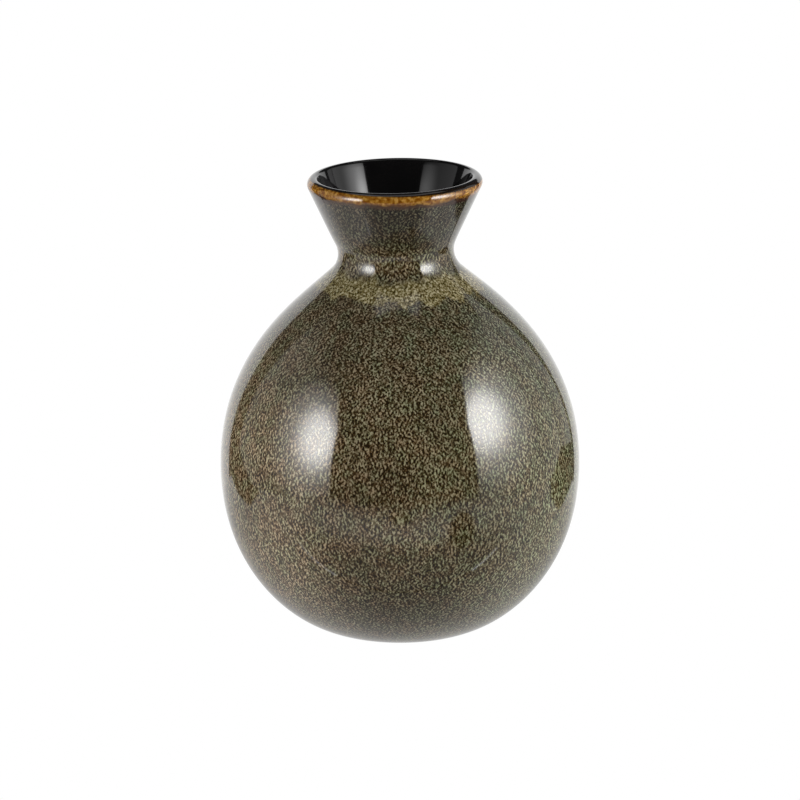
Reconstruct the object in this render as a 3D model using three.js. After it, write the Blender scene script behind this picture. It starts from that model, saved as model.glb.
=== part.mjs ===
// A sake bottle of glazed stoneware: a round belly on a low foot ring, a narrow waist and a flared mouth.
// Three clay pieces are joined with slip, and the glazes lie over them as thin coats that meet edge to edge.
// Millimetres, +Z up. The origin is the centre of the foot's standing face, and -Y is the front.

import * as THREE from "three";

// Belly, measured on the outside of the glaze.
const BELLY_R = 46;
const BELLY_Z = 42.4;
const SHOULDER_SLOPE = degrees(43.2); // from level, where the shoulder runs into the waist

// Foot: the outer glaze stops at a line just above the standing face.
const GLAZE_LINE_R = 19.6;
const GLAZE_LINE_Z = 0.45;
const GLAZE_LINE_SLOPE = degrees(11);
const FOOT_IN_R = 15;
const FOOT_CHAMFER = 0.5;
const STANDING_R = 18.4; // outer edge of the standing face
const BASE_Z = 2.4; // underside of the belly's floor, inside the foot ring

// Waist: a round hollow where the neck is joined on.
const WAIST_R = 14.7;
const WAIST_Z = 98.2;
const WAIST_HOLLOW_R = 6.3;

// Mouth: a rounded lip, fuller on the outside than on the inside.
const LIP_R = 22.1;
const LIP_TOP_Z = 117.7;
const LIP_OUT_R = 1.8;
const LIP_IN_R = 0.9;
const LIP_BAND = 1.8; // how far the lip's own glaze reaches down the neck, below the round of the lip

// Throat: it runs down steeply from the lip and rounds in to the waist, so the wall thins to about 2.5 mm
// in the middle of the neck. Both slopes lean from upright.
const THROAT_SLOPE = degrees(22.5);
const THROAT_FOOT_SLOPE = degrees(48);

// Walls.
const WALL = 3.5; // clay and both glazes, from the belly to the waist
const FLOOR = 3.1; // clay and inner glaze, at the middle of the floor
const GLAZE = 0.5;

// The neck was set on by hand, a little off centre, and its mouth tips the same way.
const NECK_OFFSET_X = -1.3;
const NECK_TIP = degrees(1.1);
const LEAN_FROM_Z = 84;
const LEAN_TO_Z = 104;

const SIDES = 40;

function degrees(angle) {
  return (angle * Math.PI) / 180;
}

function at(r, z) {
  return new THREE.Vector2(r, z);
}

// The point a distance away from another, at an angle from level.
function from(point, angle, distance) {
  return at(point.x + distance * Math.cos(angle), point.y + distance * Math.sin(angle));
}

// The outline runs up the outside, over the lip and down the inside to the middle of the floor, so that
// the clay is always on its left.

const waist = at(WAIST_R + WAIST_HOLLOW_R, WAIST_Z);
const lipOut = at(LIP_R - LIP_OUT_R, LIP_TOP_Z - LIP_OUT_R);
const lipIn = at(lipOut.x, LIP_TOP_Z - LIP_IN_R);
const insideR = BELLY_R - WALL;
const insideWaistR = WAIST_HOLLOW_R + WALL;

// The lean from upright of the neck's outside, which touches the hollow of the waist and the round of the lip.
const up = lipOut.clone().sub(waist);
const outSlope = Math.asin((WAIST_HOLLOW_R + LIP_OUT_R) / up.length()) - Math.atan2(-up.x, up.y);

function arc(centre, radius, start, end) {
  return new THREE.ArcCurve(centre.x, centre.y, radius, start, end, end < start);
}

// A curve that leaves one point at an angle and arrives at another at an angle, with a pull at each end.
function swell(start, startAngle, startPull, end, endAngle, endPull) {
  return new THREE.CubicBezierCurve(
    start,
    from(start, startAngle, startPull),
    from(end, endAngle, -endPull),
    end,
  );
}

const UP = degrees(90);
const DOWN = degrees(-90);
const IN = degrees(180);
const shoulderAngle = IN - SHOULDER_SLOPE;
const waistStart = IN + UP - SHOULDER_SLOPE; // on the hollow's circle, where the shoulder meets it

const neckFoot = from(waist, IN - outSlope, WAIST_HOLLOW_R);
const neckTop = from(lipOut, -outSlope, LIP_OUT_R);
const bandEdge = from(neckTop, UP - outSlope, -LIP_BAND);
const throatTop = from(lipIn, IN - THROAT_SLOPE, LIP_IN_R);
const throatFoot = from(waist, IN - THROAT_FOOT_SLOPE, insideWaistR);

const glazeLine = at(GLAZE_LINE_R, GLAZE_LINE_Z);
const belly = at(BELLY_R, BELLY_Z);
const shoulder = from(waist, waistStart, WAIST_HOLLOW_R);
const insideShoulder = from(waist, waistStart, insideWaistR);
const insideBelly = at(insideR, BELLY_Z);
const floorMiddle = at(0, BASE_Z + FLOOR);

const outline = [
  ["glazeLine", swell(glazeLine, GLAZE_LINE_SLOPE, 9.9, belly, UP, 26), 8],
  ["belly", swell(belly, UP, 30.1, shoulder, shoulderAngle, 10.6), 7],
  ["shoulder", arc(waist, WAIST_HOLLOW_R, waistStart, IN), 3],
  ["waist", arc(waist, WAIST_HOLLOW_R, IN, IN - outSlope), 2],
  ["neck", new THREE.LineCurve(neckFoot, bandEdge), 2],
  ["band", new THREE.LineCurve(bandEdge, neckTop), 1],
  ["lip", arc(lipOut, LIP_OUT_R, -outSlope, UP), 4],
  ["lipTop", arc(lipIn, LIP_IN_R, UP, IN - THROAT_SLOPE), 3],
  ["throat", swell(throatTop, DOWN - THROAT_SLOPE, 8, throatFoot, DOWN - THROAT_FOOT_SLOPE, 1.5), 4],
  ["throatFoot", arc(waist, insideWaistR, IN - THROAT_FOOT_SLOPE, IN), 3],
  ["insideWaist", arc(waist, insideWaistR, IN, waistStart), 3],
  ["insideShoulder", swell(insideShoulder, -SHOULDER_SLOPE, 9.5, insideBelly, DOWN, 28), 7],
  ["insideBelly", swell(insideBelly, DOWN, 25, floorMiddle, IN, 30), 8],
];

// Where each stretch of the outline starts, counted in points from the glaze line.
const mark = {};
let count = 0;
for (const [name, , steps] of outline) {
  mark[name] = count;
  count += steps;
}
mark.floor = count;
mark.pool = mark.belly + 6; // the pooled glaze round the shoulder starts here and ends at the next
mark.poolTop = mark.shoulder + 2;
mark.blackEdge = mark.lip + 3; // the black glaze laps over the crest of the lip to here

// Every point of the outline, moved into the clay by a depth.
function surface(depth) {
  const points = [];
  outline.forEach(([, curve, steps], i) => {
    for (let step = i ? 1 : 0; step <= steps; step++) {
      const along = curve.getTangent(step / steps);
      const into = new THREE.Vector2(-along.y, along.x).multiplyScalar(depth);
      points.push(curve.getPoint(step / steps).add(into));
    }
  });
  points.at(-1).x = 0;
  return points;
}

const glazeSurface = surface(0);
const claySurface = surface(GLAZE);

// How much of the neck's offset and tip a height has: none at the shoulder, all of it above the waist.
function leanShare(z) {
  return THREE.MathUtils.smoothstep(z, LEAN_FROM_Z, LEAN_TO_Z);
}

// A lathe splits each facet along one diagonal. Where the profile runs down, this takes the other one, so
// that two pieces with a surface in common are split alike and touch exactly.
function splitAlike(geometry, profile) {
  const corners = geometry.index.array;
  const stretches = profile.length - 1;
  for (let facet = 0; facet < corners.length / 6; facet++) {
    const stretch = facet % stretches;
    if (profile[stretch + 1].y < profile[stretch].y) {
      const [a, b, d, c] = corners.slice(6 * facet, 6 * facet + 4);
      corners.set([a, b, c, a, c, d], 6 * facet);
    }
  }
}

// A ring or bowl turned from a profile of (radius, height) points, then leaned as the neck leans.
function turned(name, profile, material) {
  const geometry = new THREE.LatheGeometry(profile, SIDES).rotateX(UP);
  splitAlike(geometry, profile);
  const points = geometry.getAttribute("position");
  for (let i = 0; i < points.count; i++) {
    const x = points.getX(i);
    const z = points.getZ(i);
    const share = leanShare(z);
    points.setX(i, x + share * NECK_OFFSET_X);
    points.setZ(i, z + share * Math.tan(NECK_TIP) * x);
  }
  geometry.computeVertexNormals();
  const mesh = new THREE.Mesh(geometry, material);
  mesh.name = name;
  return mesh;
}

function finish(color, roughness) {
  return new THREE.MeshStandardMaterial({ color, roughness, metalness: 0 });
}

const bareClay = finish(0x9c8468, 0.85);
const speckledGlaze = finish(0x5a5138, 0.12);
const pooledGlaze = finish(0x6e6648, 0.12);
const amberGlaze = finish(0x9a5e22, 0.12);
const blackGlaze = finish(0x0c0b0c, 0.08);

// The foot ring, of bare clay: the bottle stands on it.
function footRing() {
  const ringTop = claySurface[0];
  const profile = [
    at(FOOT_IN_R, FOOT_CHAMFER),
    at(FOOT_IN_R + FOOT_CHAMFER, 0),
    at(STANDING_R, 0),
    ringTop,
    at(ringTop.x, BASE_Z),
    at(FOOT_IN_R, BASE_Z),
    at(FOOT_IN_R, FOOT_CHAMFER),
  ];
  return turned("foot_ring", profile, bareClay);
}

// The belly, from its floor to the waist. The foot ring sits in a shallow rebate under it.
function bellyClay() {
  const outside = claySurface.slice(mark.glazeLine, mark.waist + 1);
  const inside = claySurface.slice(mark.insideWaist, mark.floor + 1);
  const profile = [at(0, BASE_Z), at(outside[0].x, BASE_Z), ...outside, ...inside];
  return turned("belly", profile, bareClay);
}

// The flared neck, joined to the belly at the waist.
function neckClay() {
  const profile = claySurface.slice(mark.waist, mark.insideWaist + 1);
  return turned("neck", [...profile, profile[0]], bareClay);
}

// A coat of glaze along a stretch of the outline.
function coat(name, start, end, material) {
  const outer = glazeSurface.slice(start, end + 1);
  const inner = claySurface.slice(start, end + 1).reverse();
  return turned(name, [...outer, ...inner, outer[0]], material);
}

// The black glaze inside, from just over the crest of the lip down to the middle of the floor.
function innerGlaze() {
  const face = glazeSurface.slice(mark.blackEdge, mark.floor + 1);
  const back = claySurface.slice(mark.blackEdge, mark.floor + 1).reverse();
  const profile = [...back, ...face];
  return turned("inner_glaze", profile, blackGlaze);
}

// The glaze in the hollow under the foot.
function baseGlaze() {
  const face = BASE_Z - GLAZE;
  const profile = [at(0, face), at(FOOT_IN_R, face), at(FOOT_IN_R, BASE_Z), at(0, BASE_Z)];
  return turned("base_glaze", profile, speckledGlaze);
}

const group = new THREE.Group();
group.add(
  footRing(),
  bellyClay(),
  neckClay(),
  coat("belly_glaze", mark.glazeLine, mark.pool, speckledGlaze),
  coat("shoulder_glaze", mark.pool, mark.poolTop, pooledGlaze),
  coat("neck_glaze", mark.poolTop, mark.band, speckledGlaze),
  coat("lip_glaze", mark.band, mark.blackEdge, amberGlaze),
  innerGlaze(),
  baseGlaze(),
);

export default group;
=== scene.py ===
from math import asin, atan2, cos, pi, radians, sin, tan

import bmesh
import bpy
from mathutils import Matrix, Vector


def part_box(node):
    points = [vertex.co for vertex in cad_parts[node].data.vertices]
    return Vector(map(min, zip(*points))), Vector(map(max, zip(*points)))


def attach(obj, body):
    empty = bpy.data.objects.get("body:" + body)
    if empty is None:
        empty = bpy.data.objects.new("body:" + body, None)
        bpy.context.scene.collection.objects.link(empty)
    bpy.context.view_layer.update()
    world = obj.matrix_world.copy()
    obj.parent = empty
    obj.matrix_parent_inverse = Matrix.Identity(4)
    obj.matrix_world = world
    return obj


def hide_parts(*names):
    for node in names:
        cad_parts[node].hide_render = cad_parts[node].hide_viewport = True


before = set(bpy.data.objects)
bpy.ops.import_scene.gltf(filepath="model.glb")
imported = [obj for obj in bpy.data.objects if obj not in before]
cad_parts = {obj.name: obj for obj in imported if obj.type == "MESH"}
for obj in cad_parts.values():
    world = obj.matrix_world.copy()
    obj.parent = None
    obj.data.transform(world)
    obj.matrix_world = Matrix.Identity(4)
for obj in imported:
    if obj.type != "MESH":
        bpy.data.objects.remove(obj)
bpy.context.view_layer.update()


# ---- The foot ring ---------------------------------------------------------------------------------
# A ring of bare stoneware clay, turned at the leather-hard stage and luted into a rebate under the belly.
# The bottle stands on it. Its edges are softened with a wet sponge before the firing.

MM = 0.001
SEGMENTS = 160
foot_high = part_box("foot_ring")[1]
FOOT_OUT_R = foot_high.x
BASE_Z = foot_high.z
CLAY_TOP_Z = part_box("belly")[0].z
FOOT_IN_R = 15 * MM
FOOT_CHAMFER = 0.5 * MM
STANDING_R = 18.4 * MM
OUTER_SOFT_EDGE = 0.4 * MM
INNER_SOFT_EDGE = 0.3 * MM

# The neck was set on a little off centre, and its mouth tips the same way.
lip_low, lip_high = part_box("lip_glaze")
NECK_OFFSET = (lip_low.x + lip_high.x) / 2
NECK_TIP = radians(1.1)
LEAN_FROM_Z = 84 * MM
LEAN_TO_Z = 104 * MM


def smooth(value, low, high):
    """0 below low, 1 above high and an S-curve between them."""
    share = min(max((value - low) / (high - low), 0), 1)
    return share * share * (3 - 2 * share)


def turned(name, profile, closed=True):
    """A piece turned on the wheel from a profile of (radius, height) points, leaned as the neck leans."""
    bm = bmesh.new()
    verts = [bm.verts.new((r, 0, z)) for r, z in profile]
    edges = [bm.edges.new(pair) for pair in zip(verts, verts[1:])]
    if closed:
        edges.append(bm.edges.new((verts[-1], verts[0])))
    around = {"cent": (0, 0, 0), "axis": (0, 0, 1), "angle": 2 * pi, "steps": SEGMENTS}
    bmesh.ops.spin(bm, geom=verts + edges, use_merge=True, **around)
    bmesh.ops.remove_doubles(bm, verts=bm.verts, dist=0.001 * MM)
    bmesh.ops.recalc_face_normals(bm, faces=bm.faces)
    for vert in bm.verts:
        share = smooth(vert.co.z, LEAN_FROM_Z, LEAN_TO_Z)
        vert.co.z += share * tan(NECK_TIP) * vert.co.x
        vert.co.x += share * NECK_OFFSET
    mesh = bpy.data.meshes.new(name)
    bm.to_mesh(mesh)
    bm.free()
    mesh.shade_smooth()
    mesh.set_sharp_from_angle(angle=radians(35))
    piece = bpy.data.objects.new(name, mesh)
    bpy.context.scene.collection.objects.link(piece)
    return piece


def softened(before, point, after, radius, steps=5):
    """Points that round off the corner of a profile at a point."""
    start = point + (before - point).normalized() * radius
    end = point + (after - point).normalized() * radius
    for step in range(steps + 1):
        t = step / steps
        yield (1 - t) ** 2 * start + 2 * (1 - t) * t * point + t * t * end


def to_linear(colour):
    """A colour as sRGB hex, turned to the linear values that the shaders take."""
    parts = [int(colour[i : i + 2], 16) / 255 for i in (1, 3, 5)]
    return [c / 12.92 if c <= 0.04045 else ((c + 0.055) / 1.055) ** 2.4 for c in parts] + [1]


def add(tree, kind, inputs=None, stops=(), **settings):
    """Adds a node with its settings, its inputs and a ramp's (place, colour) stops.

    An input is a value, a socket, or a node, which stands for its first output.
    """
    made = tree.nodes.new("ShaderNode" + kind)
    for name, value in settings.items():
        setattr(made, name, value)
    for i, (place, colour) in enumerate(stops):
        elements = made.color_ramp.elements
        stop = elements[i] if i < 2 else elements.new(place)
        stop.position = place
        stop.color = to_linear(colour)
    for name, value in (inputs or {}).items():
        if isinstance(value, bpy.types.Node):
            value = value.outputs[0]
        if isinstance(value, bpy.types.NodeSocket):
            tree.links.new(value, made.inputs[name])
        else:
            made.inputs[name].default_value = value
    return made


def new_material(name):
    material = bpy.data.materials.new(name)
    material.use_nodes = True
    material.node_tree.nodes.clear()
    return material


# A Mix node of colours takes its factor as input 0 and the colours as 6 and 7, and gives output 2.
MULTIPLY = {"data_type": "RGBA", "blend_type": "MULTIPLY"}

# Bare stoneware clay, fired: matt and finely gritty, toasted warm where the flame met it.
GRIT = 0.35 * MM
GRIT_DEPTH = 0.08 * MM
TOASTING = 9 * MM
bare_clay = new_material("bare_stoneware")
tree = bare_clay.node_tree
place = add(tree, "TexCoord").outputs["Object"]
toasting = add(tree, "TexNoise", {"Vector": place, "Scale": 1 / TOASTING, "Detail": 3})
toasted = add(tree, "ValToRGB", {"Fac": toasting}, stops=[(0.3, "#8c6a4b"), (0.7, "#b4946f")])
grit = add(tree, "TexNoise", {"Vector": place, "Scale": 1 / GRIT, "Detail": 4, "Roughness": 0.7})
specks = add(tree, "ValToRGB", {"Fac": grit}, stops=[(0.3, "#6a5240"), (0.42, "#ffffff")])
clay = add(tree, "Mix", {0: 0.6, 6: toasted, 7: specks}, **MULTIPLY).outputs[2]
rough = add(tree, "Bump", {"Height": grit, "Strength": 0.5, "Distance": GRIT_DEPTH})
shader = add(tree, "BsdfPrincipled", {"Base Color": clay, "Roughness": 0.85, "Normal": rough})
add(tree, "OutputMaterial", {"Surface": shader})

inner_top = Vector((FOOT_IN_R, BASE_Z))
inner_corner = Vector((FOOT_IN_R, FOOT_CHAMFER))
inner_standing = Vector((FOOT_IN_R + FOOT_CHAMFER, 0))
outer_standing = Vector((STANDING_R, 0))
clay_top = Vector((FOOT_OUT_R, CLAY_TOP_Z))
foot_profile = [
    inner_top,
    *softened(inner_top, inner_corner, inner_standing, INNER_SOFT_EDGE),
    *softened(inner_corner, inner_standing, outer_standing, INNER_SOFT_EDGE),
    *softened(inner_standing, outer_standing, clay_top, OUTER_SOFT_EDGE),
    clay_top,
    Vector((FOOT_OUT_R, BASE_Z)),
]
foot_ring = turned("foot", foot_profile)
foot_ring.data.materials.append(bare_clay)
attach(foot_ring, "root")
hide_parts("foot_ring")


# ---- The clay belly and neck -----------------------------------------------------------------------
# The body is stoneware, about 2.5 mm thick, glazed all over, so that none of it shows. The belly is a
# round bowl drawn in to a waist, and the flared neck, which is a little thinner, is luted on there.

GLAZE = 0.5 * MM
WALL = 3.5 * MM
BELLY_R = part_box("belly_glaze")[1].x
BELLY_Z = 42.4 * MM
FLOOR_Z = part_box("inner_glaze")[0].z + GLAZE
GLAZE_LINE = Vector((19.6 * MM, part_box("belly_glaze")[0].z))
GLAZE_LINE_SLOPE = radians(11)
SHOULDER_SLOPE = radians(43.2)
WAIST_R = 14.7 * MM
WAIST_Z = 98.2 * MM
WAIST_HOLLOW_R = 6.3 * MM
INSIDE_HOLLOW_R = WAIST_HOLLOW_R + WALL
LIP_R = lip_high.y
LIP_TOP_Z = 117.7 * MM
LIP_OUT_R = 1.8 * MM
LIP_IN_R = 0.9 * MM
THROAT_SLOPE = radians(22.5)
THROAT_FOOT_SLOPE = radians(48)
BELLY_STEPS = 63
HOLLOW_STEPS = 12
NECK_STEPS = 18
LIP_STEPS = 16
UP = pi / 2
IN = pi


def heading(angle):
    return Vector((cos(angle), sin(angle)))


def arc(centre, radius, start, end, steps):
    """Points round a circle, each with the direction into the clay, on the left of the way along."""
    turn = 1 if end > start else -1
    for step in range(steps + 1):
        out = heading(start + (end - start) * step / steps)
        yield centre + radius * out, -turn * out


def line(start, end, steps):
    along = (end - start).normalized()
    for step in range(steps + 1):
        yield start.lerp(end, step / steps), Vector((-along.y, along.x))


def swell(start, start_angle, start_pull, end, end_angle, end_pull, steps):
    """A full curve that leaves one point at an angle and arrives at another, with a pull at each end."""
    after = start + start_pull * heading(start_angle)
    before = end - end_pull * heading(end_angle)
    for step in range(steps + 1):
        t = step / steps
        s = 1 - t
        point = s**3 * start + 3 * s * s * t * after + 3 * s * t * t * before + t**3 * end
        along = s * s * (after - start) + 2 * s * t * (before - after) + t * t * (end - before)
        along.normalize()
        yield point, Vector((-along.y, along.x))


waist = Vector((WAIST_R + WAIST_HOLLOW_R, WAIST_Z))
lip_out = Vector((LIP_R - LIP_OUT_R, LIP_TOP_Z - LIP_OUT_R))
lip_in = Vector((lip_out.x, LIP_TOP_Z - LIP_IN_R))

# The neck's outside touches the hollow of the waist and the round of the lip.
up = lip_out - waist
out_slope = asin((WAIST_HOLLOW_R + LIP_OUT_R) / up.length) - atan2(-up.x, up.y)
waist_start = IN + UP - SHOULDER_SLOPE
shoulder = waist + WAIST_HOLLOW_R * heading(waist_start)
inside_shoulder = waist + INSIDE_HOLLOW_R * heading(waist_start)
belly_side = Vector((BELLY_R, BELLY_Z))
inside_belly = Vector((BELLY_R - WALL, BELLY_Z))
floor_middle = Vector((0, FLOOR_Z))
neck_foot = waist + WAIST_HOLLOW_R * heading(IN - out_slope)
neck_top = lip_out + LIP_OUT_R * heading(-out_slope)
throat_top = lip_in + LIP_IN_R * heading(IN - THROAT_SLOPE)
throat_foot = waist + INSIDE_HOLLOW_R * heading(IN - THROAT_FOOT_SLOPE)
throat_down = -UP - THROAT_SLOPE
throat_in = -UP - THROAT_FOOT_SLOPE

# The outline runs up the outside, over the lip and down the inside to the middle of the floor.
stretches = {
    "lower_belly": swell(GLAZE_LINE, GLAZE_LINE_SLOPE, 9.9 * MM, belly_side, UP, 26 * MM, 56),
    "upper_belly": swell(belly_side, UP, 30.1 * MM, shoulder, IN - SHOULDER_SLOPE, 10.6 * MM, BELLY_STEPS),
    "shoulder": arc(waist, WAIST_HOLLOW_R, waist_start, IN, HOLLOW_STEPS),
    "waist": arc(waist, WAIST_HOLLOW_R, IN, IN - out_slope, 8),
    "neck": line(neck_foot, neck_top, NECK_STEPS),
    "lip": arc(lip_out, LIP_OUT_R, -out_slope, UP, LIP_STEPS),
    "lip_top": arc(lip_in, LIP_IN_R, UP, IN - THROAT_SLOPE, 8),
    "throat": swell(throat_top, throat_down, 8 * MM, throat_foot, throat_in, 1.5 * MM, 24),
    "throat_foot": arc(waist, INSIDE_HOLLOW_R, IN - THROAT_FOOT_SLOPE, IN, 12),
    "inside_waist": arc(waist, INSIDE_HOLLOW_R, IN, waist_start, 12),
    "inside_shoulder": swell(inside_shoulder, -SHOULDER_SLOPE, 9.5 * MM, inside_belly, -UP, 28 * MM, 28),
    "inside_belly": swell(inside_belly, -UP, 25 * MM, floor_middle, IN, 30 * MM, 32),
}
outline = []
mark = {}
for name, stretch in stretches.items():
    if outline:
        next(stretch)
    mark[name] = max(len(outline) - 1, 0)
    outline.extend(stretch)
mark["floor"] = len(outline) - 1


def surface(start, end, depth):
    """The outline from one mark to another, moved into the clay by a depth."""
    points = [point + depth * into for point, into in outline[start : end + 1]]
    if end == mark["floor"]:
        points[-1].x = 0
    return points


belly_profile = [Vector((0, BASE_Z)), Vector((FOOT_OUT_R, BASE_Z))]
belly_profile += surface(0, mark["waist"], GLAZE) + surface(mark["inside_waist"], mark["floor"], GLAZE)
belly = turned("clay_belly", belly_profile, closed=False)
neck = turned("clay_neck", surface(mark["waist"], mark["inside_waist"], GLAZE))
for piece, node in ((belly, "belly"), (neck, "neck")):
    piece.data.materials.append(bare_clay)
    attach(piece, "root")
    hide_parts(node)


# ---- The outer glazes ------------------------------------------------------------------------------
# A fluid, glossy iron glaze over the belly, shoulder and neck, which broke into fine olive and brown
# flecks drawn out down the pot. It pooled below the waist, olive-yellow, and thinned over the lip to amber.

GRAIN = 0.42 * MM
GRAIN_STRETCH = 1.8
FLECK_GAP = 0.55 * MM
DRAIN = 0.1
PATCHES = 3.5 * MM
CLOUDS = 22 * MM
FIRE_FROM_X = -20 * MM
FIRE_TO_X = 44 * MM
BOTTLE_HEIGHT = 118 * MM
POOL_LOW = 89.7 * MM
POOL_HIGH = 94.2 * MM
POOL_LOW_BLUR = 0.3 * MM
POOL_HIGH_BLUR = 1.2 * MM
POOL_GRAIN = 0.5 * MM
POOL_FLOW = 0.4
DRIP_WIDTH = 4 * MM
DRIP_REACH = 1.4 * MM
DRIP_FLOW = 0.15
WAVE_WIDTH = 5 * MM
WAVE_DEPTH = 0.05 * MM

# Noise lies about 0.5 and mostly between these two.
NOISE_LOW = 0.3
NOISE_HIGH = 0.7
S_CURVE = {"interpolation_type": "SMOOTHSTEP"}
MIX = {"data_type": "RGBA"}


def glaze_colour(tree, place):
    """The colour of the outer glaze at a place on the pot, with painted shade set by height."""
    ways = add(tree, "SeparateXYZ", {"Vector": place}).outputs
    drawn = add(tree, "Mapping", {"Vector": place, "Scale": (1, 1, 1 / GRAIN_STRETCH)})
    around = add(tree, "VectorMath", {0: place, 1: (0, 0, 1)}, operation="CROSS_PRODUCT")
    aside = add(tree, "VectorMath", {0: around}, operation="NORMALIZE")
    grainy = {"Scale": 1 / GRAIN, "Detail": 1.5, "Roughness": 0.6}
    grain = add(tree, "TexNoise", {"Vector": drawn, **grainy})

    # Each fleck draws the colour out of the glaze beside it, which keeps the flecks apart.
    for step in (-FLECK_GAP, FLECK_GAP):
        apart = add(tree, "VectorMath", {0: aside, 1: (step,) * 3, 2: drawn}, operation="MULTIPLY_ADD")
        beside = add(tree, "TexNoise", {"Vector": apart, **grainy})
        drain = add(tree, "MapRange", {"Value": beside, "To Min": 0.5 * DRAIN, "To Max": -0.5 * DRAIN})
        grain = add(tree, "Math", {0: grain, 1: drain}, operation="ADD")
    grain_stops = [
        (0.37, "#1a1000"),
        (0.44, "#36270c"),
        (0.50, "#4b3e29"),
        (0.56, "#6c6352"),
        (0.64, "#9a917c"),
    ]
    flecks = add(tree, "ValToRGB", {"Fac": grain}, stops=grain_stops)

    # Iron gathers in reddish patches and thins to greenish ones.
    patch = add(tree, "TexNoise", {"Vector": place, "Scale": 1 / PATCHES, "Detail": 3, "Roughness": 0.6})
    tints = [(0.38, "#f0f4e2"), (0.5, "#fff7ea"), (0.62, "#ffebdc")]
    tint = add(tree, "ValToRGB", {"Fac": patch}, stops=tints)
    tinted = add(tree, "Mix", {0: 1.0, 6: flecks, 7: tint}, **MULTIPLY).outputs[2]

    # The side that stood nearer the fire came out greener.
    fired_way = {"Value": ways["X"], "From Min": FIRE_FROM_X, "From Max": FIRE_TO_X}
    fired = add(tree, "MapRange", fired_way, **S_CURVE)
    sides = {0: fired, 6: to_linear("#f3f6f5"), 7: to_linear("#eafffa")}
    firing = add(tree, "Mix", sides, **MIX).outputs[2]
    tinted = add(tree, "Mix", {0: 1.0, 6: tinted, 7: firing}, **MULTIPLY).outputs[2]

    # The glaze is painted darker high on the belly and much darker on the steep neck, slightly bluer high on
    # the
    # belly and lighter again at the waist: painted shade, set by height. A real, random unevenness of tone
    # in broad clouds lies over it.
    cloud = add(tree, "TexNoise", {"Vector": place, "Scale": 1 / CLOUDS, "Detail": 3, "Roughness": 0.6})
    cloud_way = {"From Min": NOISE_LOW, "From Max": NOISE_HIGH, "To Min": 0.75, "To Max": 1.3}
    uneven = add(tree, "MapRange", {"Value": cloud, **cloud_way})
    share = add(tree, "Math", {0: ways["Z"], 1: BOTTLE_HEIGHT}, operation="DIVIDE")
    # Painted shade: a brightness for each share of the bottle's height.
    shade_by_height_stops = [
        (0.24, "#ffffff"),
        (0.34, "#f5f5f5"),
        (0.50, "#f5f5f5"),
        (0.68, "#d3dae1"),
        (0.80, "#d1d9df"),
        (0.835, "#eaeaea"),
        (0.88, "#a8aaac"),
        (0.93, "#8f9191"),
        (0.97, "#999b9b"),
    ]
    painted_shade_by_height = add(tree, "ValToRGB", {"Fac": share}, stops=shade_by_height_stops)
    shade_and_tone = add(tree, "VectorMath", {0: painted_shade_by_height, "Scale": uneven}, operation="SCALE")
    shaded = add(tree, "Mix", {0: 1.0, 6: tinted, 7: shade_and_tone}, **MULTIPLY).outputs[2]

    # The pool has coarser, longer flecks and a ragged lower edge, where it began to run.
    pool_stops = [
        (0.36, "#221800"),
        (0.43, "#453b16"),
        (0.50, "#645a3a"),
        (0.57, "#827a5b"),
        (0.66, "#a29b80"),
    ]
    flowing = add(tree, "Mapping", {"Vector": place, "Scale": (1, 1, POOL_FLOW)})
    pool_grainy = {"Vector": flowing, "Scale": 1 / POOL_GRAIN, "Detail": 2, "Roughness": 0.6}
    pool_grain = add(tree, "TexNoise", pool_grainy)
    pool = add(tree, "ValToRGB", {"Fac": pool_grain}, stops=pool_stops)
    runs = add(tree, "Mapping", {"Vector": place, "Scale": (1, 1, DRIP_FLOW)})
    drip = add(tree, "TexNoise", {"Vector": runs, "Scale": 1 / DRIP_WIDTH, "Detail": 3, "Roughness": 0.65})
    drip_way = {"From Min": NOISE_LOW, "From Max": NOISE_HIGH, "To Min": -DRIP_REACH, "To Max": DRIP_REACH}
    ragged = add(tree, "MapRange", {"Value": drip, **drip_way}, clamp=False)
    edge = add(tree, "Math", {0: ways["Z"], 1: ragged}, operation="ADD")
    low_way = {"From Min": POOL_LOW - POOL_LOW_BLUR, "From Max": POOL_LOW + POOL_LOW_BLUR}
    high_way = {"From Min": POOL_HIGH + POOL_HIGH_BLUR, "From Max": POOL_HIGH - POOL_HIGH_BLUR}
    above = add(tree, "MapRange", {"Value": edge, **low_way}, **S_CURVE)
    below = add(tree, "MapRange", {"Value": edge, **high_way}, **S_CURVE)
    band = add(tree, "Math", {0: above, 1: below}, operation="MULTIPLY")
    return add(tree, "Mix", {0: band, 6: shaded, 7: pool}, **MIX).outputs[2]


def glossy(tree, colour, place):
    """A clear, glassy surface over a colour, with the slight waves of a melted glaze."""
    waves = add(tree, "TexNoise", {"Vector": place, "Scale": 1 / WAVE_WIDTH, "Detail": 1})
    bump = add(tree, "Bump", {"Height": waves, "Strength": 0.15, "Distance": WAVE_DEPTH})
    glass = {"Base Color": colour, "Roughness": 0.07, "IOR": 1.5, "Normal": bump}
    add(tree, "OutputMaterial", {"Surface": add(tree, "BsdfPrincipled", glass)})


# The iron glaze where it is thick: glassy, with fine flecks that lie under the gloss.
speckled = new_material("speckled_iron_glaze")
tree = speckled.node_tree
place = add(tree, "TexCoord").outputs["Object"]
glossy(tree, glaze_colour(tree, place), place)


def bell(tree, place, centre, size, turn, edge, height):
    """A hill of a height over an oval, which falls to half at the oval, softly over the edge's share."""
    oval = {"Vector": place, "Location": centre, "Rotation": turn, "Scale": size}
    local = add(tree, "Mapping", oval, vector_type="TEXTURE")
    far = add(tree, "VectorMath", {0: local}, operation="LENGTH").outputs["Value"]
    fall = {"Value": far, "From Min": 1 + edge, "From Max": 1 - edge, "To Max": height}
    return add(tree, "MapRange", fall, **S_CURVE)


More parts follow.
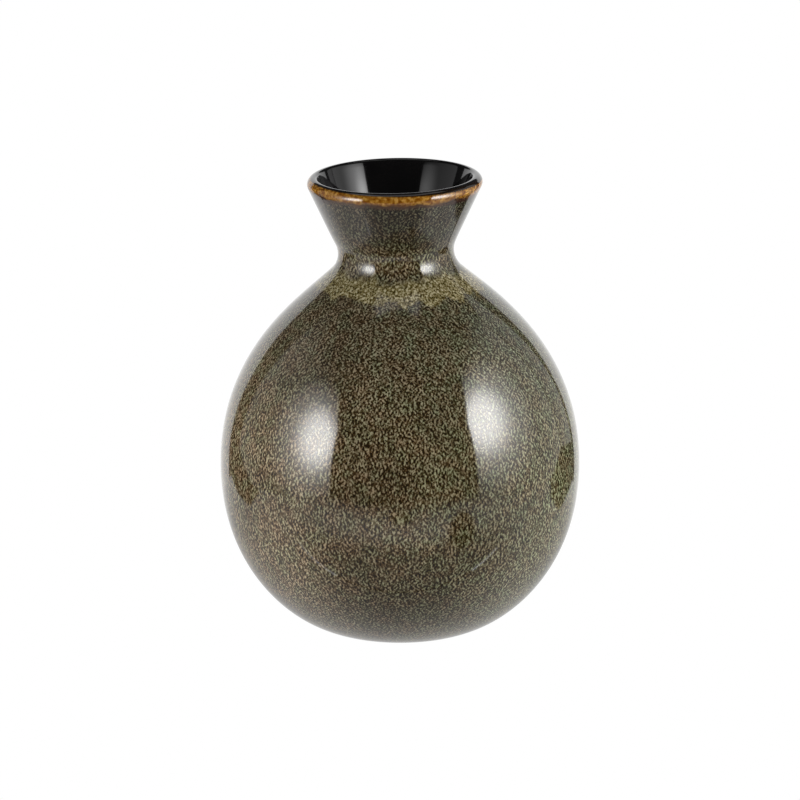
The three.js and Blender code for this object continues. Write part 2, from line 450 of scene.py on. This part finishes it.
# The same glaze, thin over the lip: mottled amber, plum-brown where it starts to thin, treacle-brown
# where a drop hung at each side, and nearly black where the black glaze laps over it.
MOTTLE = 0.9 * MM
WOBBLE = 3 * MM
WOBBLE_REACH = 0.5 * MM
PLUM_LOW = 113.2 * MM
PLUM_HIGH = 114.7 * MM
AMBER_LOW = 114.6 * MM
AMBER_HIGH = 115.7 * MM
TREACLE_R = 21.2 * MM
TREACLE_Z = 113.9 * MM
TREACLE_HALF_HEIGHT = 1.1 * MM
BLACK_LAP_LOW = 116.9 * MM
BLACK_LAP_HIGH = 117.25 * MM
amber = new_material("amber_glaze")
tree = amber.node_tree
place = add(tree, "TexCoord").outputs["Object"]
height = add(tree, "SeparateXYZ", {"Vector": place}).outputs["Z"]
mottle = add(tree, "TexNoise", {"Vector": place, "Scale": 1 / MOTTLE})
honey_stops = [
    (0.34, "#5a3200"),
    (0.43, "#693f05"),
    (0.50, "#774f12"),
    (0.57, "#865f22"),
    (0.66, "#967032"),
]
honey = add(tree, "ValToRGB", {"Fac": mottle}, stops=honey_stops)
wobble = add(tree, "TexNoise", {"Vector": place, "Scale": 1 / WOBBLE})
wobble_way = {"From Min": NOISE_LOW, "From Max": NOISE_HIGH, "To Min": -WOBBLE_REACH, "To Max": WOBBLE_REACH}
wobbled = add(tree, "MapRange", {"Value": wobble, **wobble_way}, clamp=False)
uneven = add(tree, "Math", {0: height, 1: wobbled}, operation="ADD")
plum = add(tree, "MapRange", {"Value": uneven, "From Min": PLUM_LOW, "From Max": PLUM_HIGH}, **S_CURVE)
thin = add(tree, "MapRange", {"Value": uneven, "From Min": AMBER_LOW, "From Max": AMBER_HIGH}, **S_CURVE)
# Below the plum lies the outer glaze's own colour, with its painted shade by height.
to_plum = {0: plum, 6: glaze_colour(tree, place), 7: to_linear("#3b281b")}
lip_colour = add(tree, "Mix", to_plum, **MIX).outputs[2]
lip_colour = add(tree, "Mix", {0: thin, 6: lip_colour, 7: honey}, **MIX).outputs[2]
for angle, half_width in ((radians(-61), 5.0 * MM), (radians(48), 4.2 * MM)):
    spot = (NECK_OFFSET + TREACLE_R * sin(angle), -TREACLE_R * cos(angle), TREACLE_Z)
    oval = (half_width, half_width, TREACLE_HALF_HEIGHT)
    treacle = bell(tree, place, spot, oval, turn=(0, 0, 0), edge=0.6, height=0.9)
    to_treacle = {0: treacle, 6: lip_colour, 7: to_linear("#24120a")}
    lip_colour = add(tree, "Mix", to_treacle, **MIX).outputs[2]
lap_way = {"Value": height, "From Min": BLACK_LAP_LOW, "From Max": BLACK_LAP_HIGH}
lap = add(tree, "MapRange", lap_way, **S_CURVE)
lapped = add(tree, "Mix", {0: lap, 6: lip_colour, 7: to_linear("#120802")}, **MIX).outputs[2]
glossy(tree, lapped, place)


def coat(name, start, end, material, node):
    """A coat of glaze on the clay from one mark of the outline to another."""
    piece = turned(name, surface(start, end, 0) + surface(start, end, GLAZE)[::-1])
    piece.data.materials.append(material)
    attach(piece, "root")
    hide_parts(node)


# The pool takes the top seventh of the upper belly and two thirds of the hollow above it. The amber takes
# the top ninth of the neck, and the black laps over the last quarter of the lip.
pool_start = mark["upper_belly"] + BELLY_STEPS * 6 // 7
pool_end = mark["shoulder"] + HOLLOW_STEPS * 2 // 3
band_start = mark["neck"] + NECK_STEPS * 8 // 9
black_edge = mark["lip"] + LIP_STEPS * 3 // 4
coat("belly_coat", 0, pool_start, speckled, "belly_glaze")
coat("shoulder_pool", pool_start, pool_end, speckled, "shoulder_glaze")
coat("neck_coat", pool_end, band_start, speckled, "neck_glaze")
coat("lip_band", band_start, black_edge, amber, "lip_glaze")


# ---- The black glaze inside ------------------------------------------------------------------------
# A tenmoku-black liner, poured in and out again. It is glassy and opaque, and laps just over the crest of
# the lip.

INK_CLOUDS = 6 * MM
black = new_material("black_glaze")
tree = black.node_tree
place = add(tree, "TexCoord").outputs["Object"]
depth = add(tree, "TexNoise", {"Vector": place, "Scale": 1 / INK_CLOUDS})
ink = add(tree, "ValToRGB", {"Fac": depth}, stops=[(0.35, "#020102"), (0.65, "#060505")])
glossy(tree, ink, place)

liner_profile = surface(black_edge, mark["floor"], GLAZE)[::-1] + surface(black_edge, mark["floor"], 0)
liner = turned("black_liner", liner_profile, closed=False)
liner.data.materials.append(black)
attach(liner, "root")
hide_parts("inner_glaze")


# ---- The glaze under the foot ----------------------------------------------------------------------
# The hollow inside the foot ring is brushed with the outer glaze, which fills its corner with a small
# rounded edge.

base_low, base_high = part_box("base_glaze")
base_middle = Vector((0, base_low.z))
base_edge = Vector((base_high.x, base_low.z))
base_corner = Vector((base_high.x, base_high.z))
base_profile = [
    base_middle,
    *softened(base_middle, base_edge, base_corner, INNER_SOFT_EDGE),
    base_corner,
    Vector((0, base_high.z)),
]
base = turned("base_coat", base_profile, closed=False)
base.data.materials.append(speckled)
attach(base, "root")
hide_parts("base_glaze")


# ---- The studio ------------------------------------------------------------------------------------
# A small light tent, open at the front, with a lamp behind each side wall and a sheet of white paper
# behind the bottle. The camera sees only a white floor and room; the tent shows as reflections in the
# glaze.

CAMERA_DISTANCE = 1.0
CAMERA_HEIGHT_ANGLE = radians(15.96)
CAMERA_AIM = Vector((0, 0, 59 * MM))
LENS_MM = 176.2
SENSOR_MM = 36

camera_data = bpy.data.cameras.new("camera")
camera_data.lens = LENS_MM
camera_data.sensor_width = SENSOR_MM
camera = bpy.data.objects.new("camera", camera_data)
back = Vector((0, -cos(CAMERA_HEIGHT_ANGLE), sin(CAMERA_HEIGHT_ANGLE)))
camera.location = CAMERA_AIM + CAMERA_DISTANCE * back
camera.rotation_euler = back.to_track_quat("Z", "Y").to_euler()
bpy.context.scene.collection.objects.link(camera)
bpy.context.scene.camera = camera
bpy.context.scene.view_settings.view_transform = "Standard"


def sheet(name, corners, material):
    """A flat sheet of the studio from its corners, in millimetres. The camera doesn't see it."""
    bm = bmesh.new()
    bm.faces.new([bm.verts.new(Vector(corner) * MM) for corner in corners])
    mesh = bpy.data.meshes.new(name)
    bm.to_mesh(mesh)
    bm.free()
    mesh.materials.append(material)
    made = bpy.data.objects.new(name, mesh)
    made.visible_camera = False
    bpy.context.scene.collection.objects.link(made)
    return made


WHITE = (1, 1, 1, 1)


def glowing(tree, strength):
    """Ends a material's tree in a plain white light of a strength."""
    light = add(tree, "Emission", {"Color": WHITE, "Strength": strength})
    add(tree, "OutputMaterial", {"Surface": light})


def glow(name, strength):
    """A sheet's material that gives off a plain white light."""
    material = new_material(name)
    glowing(material.node_tree, strength)
    return material


# The side walls are thin white cloth. Their sizes here are in millimetres, like those of every sheet.
WALL_X = 200
WALL_BACK_Y = 94
WALL_TOP_GLOW = 0.1
LAMP_GAP = 4
LAMP_GLOW = 12
SPOT_EDGE = 0.59
HALO_SHARE = 0.39


def lamp_wall(side, front, top, centre, size, tilt, peak, halo, rest):
    """A side wall with the hot spot of the lamp behind it, in a wider, weaker halo."""
    name = "left_wall" if side < 0 else "right_wall"
    material = new_material(name)
    tree = material.node_tree
    place = add(tree, "TexCoord").outputs["Object"]
    height = add(tree, "SeparateXYZ", {"Vector": place}).outputs["Z"]
    fade = {"From Min": top * MM, "From Max": 0.6 * top * MM, "To Min": WALL_TOP_GLOW, "To Max": rest}
    strength = add(tree, "MapRange", {"Value": height, **fade}, **S_CURVE)
    middle = (side * WALL_X * MM, centre[0] * MM, centre[1] * MM)
    for width, share in ((1, 1), (halo, HALO_SHARE)):
        oval = (1, width * size[0] * MM, width * size[1] * MM)
        spot = bell(tree, place, middle, oval, (tilt, 0, 0), SPOT_EDGE, peak * share)
        strength = add(tree, "Math", {0: strength, 1: spot}, operation="ADD")
    glowing(tree, strength)

    # Its lower back and upper front corners are cut away.
    corners = [(front, 0), (25, 0), (WALL_BACK_Y, 28), (WALL_BACK_Y, top), (front + 83, top), (front, 180)]
    sheet(name, [(side * WALL_X, y, z) for y, z in corners], material)

    # Some of the lamp's light comes straight through the cloth, and doesn't show in the gloss.
    x = side * (WALL_X - LAMP_GAP)
    near, far = centre[0] - 0.6 * size[0], centre[0] + 0.8 * size[0]
    low, high = centre[1] - 0.8 * size[1], centre[1] + 0.8 * size[1]
    corners = [(x, near, low), (x, far, low), (x, far, high), (x, near, high)]
    lamp = sheet(name + "_lamp", corners, glow("lamp", LAMP_GLOW))
    lamp.visible_glossy = False


left_spot = {"centre": (-160, 124), "size": (56, 63), "tilt": radians(53), "peak": 10.3, "halo": 1.7}
right_spot = {"centre": (-138, 158), "size": (60, 71), "tilt": radians(63), "peak": 11.1, "halo": 1.64}
lamp_wall(-1, front=-228, top=300, rest=0.5, **left_spot)
lamp_wall(1, front=-193, top=340, rest=0.85, **right_spot)

# White paper stands behind the bottle, with a dimmer strip of the tent's back wall to its right, and more
# of it lies over the top of the tent, notched at the back.
PAPER_Y = 97
PAPER = [(-133, 0), (110, 0), (112, 70), (85, 152), (-88, 156), (-130, 85)]
ROOF_Z = 400
ROOF = [(-90, -55), (70, -55), (180, 100), (110, 100), (50, 25), (-50, 25), (-110, 100), (-180, 100)]
BACK_WALL_Y = 98
BACK_WALL = [(123, 25), (200, 25), (200, 260), (123, 220)]
paper_white = glow("paper", 1.1)
sheet("back_paper", [(x, PAPER_Y, z) for x, z in PAPER], paper_white)
sheet("roof", [(x, y, ROOF_Z) for x, y in ROOF], paper_white)
sheet("back_wall", [(x, BACK_WALL_Y, z) for x, z in BACK_WALL], glow("back_wall", 0.6))

# The floor of the tent glows white, with painted shade: the bottle's own soft shadow, a fall-off towards
# the open front, and darker painted patches where the camera and its stand show. Each patch has a centre,
# a half width and a half length, a turn, the softness of its edge and a depth.
FLOOR = [(-205, -340), (205, -340), (205, 38), (150, 20), (108, 32), (118, 60), (122, 97)]
FLOOR += [(-150, 97), (-135, 50), (-130, 15), (-185, -2), (-205, 10)]
FRONT_DARK_Y = -270
FRONT_WHITE_Y = -110
FRONT_GLOW = 0.05
DARKEST = 0.04
DARK_PATCHES = [
    ((0, 22), (150, 50), 0, 0.6, 0.32),
    ((8, -70), (84, 32), 0, 0.5, 0.62),
    ((78, -116), (17, 45), radians(39), 0.3, 0.9),
    ((2, -176), (17, 34), 0, 0.5, 0.7),
]
floor_white = new_material("floor")
tree = floor_white.node_tree
place = add(tree, "TexCoord").outputs["Object"]
depth_y = add(tree, "SeparateXYZ", {"Vector": place}).outputs["Y"]
front_way = {"From Min": FRONT_DARK_Y * MM, "From Max": FRONT_WHITE_Y * MM, "To Min": FRONT_GLOW}
white = add(tree, "MapRange", {"Value": depth_y, **front_way}, **S_CURVE)
# Painted shade: each patch is taken off the floor's glow.
for (x, y), (half_width, half_length), turn, edge, depth in DARK_PATCHES:
    oval = (half_width * MM, half_length * MM, 1)
    patch = bell(tree, place, (x * MM, y * MM, 0), oval, (0, 0, turn), edge, depth)
    white = add(tree, "Math", {0: white, 1: patch}, operation="SUBTRACT")
glowing(tree, add(tree, "Math", {0: white, 1: DARKEST}, operation="MAXIMUM"))
sheet("floor", [(x, y, 0) for x, y in FLOOR], floor_white)

# Beyond the back corners of the floor the cloth sags. Each sag is a dimmer glowing sheet: painted shade.
SAG_BACK_Y = 130
SAG_Z = -25
for inner, outer in ((-110, -175), (95, 158)):
    corners = [(inner, 0), (outer, 0), (outer, SAG_BACK_Y), (inner, SAG_BACK_Y)]
    sheet("sag", [(x, y, SAG_Z) for x, y in corners], glow("sag", 0.72))

# The front edge of the board under the cloth catches the light at each side, as painted glints.
# Each glint is a glowing strip, and between them lies a nearly dark one.
EDGE_FRONT_Y = -51.5
EDGE_BACK_Y = -50.5
EDGE_Z = 0.5
for start, end, strength in ((-72, -32, 3.5), (-32, 38, 0.1), (38, 66, 4.5)):
    corners = [(start, EDGE_FRONT_Y), (end, EDGE_FRONT_Y), (end, EDGE_BACK_Y), (start, EDGE_BACK_Y)]
    sheet("edge", [(x, y, EDGE_Z) for x, y in corners], glow("edge", strength))

# The camera sees a plain white floor, under the tent's.
PLAIN_HALF = 4000
PLAIN_Z = -26
corners = [(-1, -1), (1, -1), (1, 1), (-1, 1)]
corners = [(x * PLAIN_HALF, y * PLAIN_HALF, PLAIN_Z) for x, y in corners]
plain = sheet("plain_floor", corners, glow("floor_white", 1))
plain.visible_camera = True
plain.visible_glossy = False
plain.visible_diffuse = False

# The room is white to the camera and dim to the glaze.
ROOM_GLOW = 0.06
world = bpy.data.worlds.new("room")
bpy.context.scene.world = world
world.use_nodes = True
tree = world.node_tree
tree.nodes.clear()
seen = add(tree, "LightPath").outputs["Is Camera Ray"]
brightness = add(tree, "MapRange", {"Value": seen, "To Min": ROOM_GLOW, "To Max": 1})
room = add(tree, "Background", {"Color": WHITE, "Strength": brightness})
add(tree, "OutputWorld", {"Surface": room})
